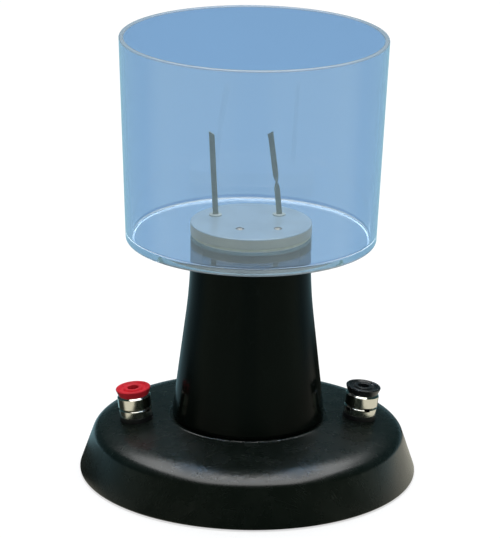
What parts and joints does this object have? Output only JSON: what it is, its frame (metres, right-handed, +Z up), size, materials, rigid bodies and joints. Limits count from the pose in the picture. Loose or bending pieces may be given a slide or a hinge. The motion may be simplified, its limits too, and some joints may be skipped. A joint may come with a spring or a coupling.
{
  "type": "electrolysis apparatus",
  "caption": "Clear cup on a flared pedestal and round base, with strip electrodes through a plug in its floor and red and black screw terminals.",
  "frame": {"origin": "on the table under the middle of the base", "axes": "+Z up along the pedestal, +X towards the black terminal, +Y to the back, where the electrodes stand"},
  "size_m": [0.13, 0.13, 0.172],
  "materials": {
    "base_black": "moulded, soft gloss",
    "cover_black": "moulded, matte",
    "foot_rubber": "matte",
    "pedestal_black": "moulded, gloss",
    "screw_steel": "zinc plated",
    "cup_clear": "clear, light blue cast",
    "plug_grey": "satin",
    "seal_rubber": "matte",
    "gasket_rubber": "matte",
    "grommet_rubber": "matte",
    "electrode_metal": "dull, drawn strip",
    "clip_brass": "machined",
    "lead_red": "insulated wire",
    "lead_black": "insulated wire",
    "terminal_nickel": "nickel plated, polished",
    "tag_tin": "tinned",
    "cap_red": "moulded, gloss",
    "cap_black": "moulded, gloss",
    "insulator_black": "moulded, satin"
  },
  "bodies": {
    "stand": {"base_shell": "base_black", "base_cover": "cover_black", "rubber_feet": "foot_rubber", "cover_screws": "screw_steel", "pedestal": "pedestal_black", "pedestal_screws": "screw_steel", "cup": "cup_clear", "cup_gasket": "gasket_rubber", "plug": "plug_grey", "plug_seal": "seal_rubber", "plug_screws": "screw_steel", "left_electrode": "electrode_metal", "right_electrode": "electrode_metal", "left_grommet": "grommet_rubber", "right_grommet": "grommet_rubber", "left_clip": "clip_brass", "right_clip": "clip_brass", "clip_screws": "screw_steel", "red_lead": "lead_red", "black_lead": "lead_black", "red_collar": "terminal_nickel", "red_insulator": "insulator_black", "red_stem": "terminal_nickel", "red_bush": "insulator_black", "red_tag": "tag_tin", "red_nut": "terminal_nickel", "black_collar": "terminal_nickel", "black_insulator": "insulator_black", "black_stem": "terminal_nickel", "black_bush": "insulator_black", "black_tag": "tag_tin", "black_nut": "terminal_nickel"},
    "red_clamp": {"red_clamp_washer": "terminal_nickel"},
    "red_screw_knob": {"red_knob": "terminal_nickel", "red_cap": "cap_red"},
    "black_clamp": {"black_clamp_washer": "terminal_nickel"},
    "black_screw_knob": {"black_knob": "terminal_nickel", "black_cap": "cap_black"}
  },
  "joints": [
    {"name": "red_clamp_lift", "type": "slide", "parent": "stand", "child": "red_clamp", "axis": [-0.1149, 0, 0.9934], "range_m": [0, 0.00212]},
    {"name": "red_knob_turn", "type": "hinge", "parent": "red_clamp", "child": "red_screw_knob", "pos_m": [-0.0431, 0, 0.0205], "axis": [-0.1149, 0, 0.9934], "range_deg": [0, 1080]},
    {"name": "black_clamp_lift", "type": "slide", "parent": "stand", "child": "black_clamp", "axis": [0.1149, 0, 0.9934], "range_m": [0, 0.00212]},
    {"name": "black_knob_turn", "type": "hinge", "parent": "black_clamp", "child": "black_screw_knob", "pos_m": [0.0431, 0, 0.0205], "axis": [0.1149, 0, 0.9934], "range_deg": [0, 1080]}
  ],
  "couplings": [
    {"joint": "red_clamp_lift", "follows": "red_knob_turn", "m_per_rad": 0.00011141},
    {"joint": "black_clamp_lift", "follows": "black_knob_turn", "m_per_rad": 0.00011141}
  ]
}
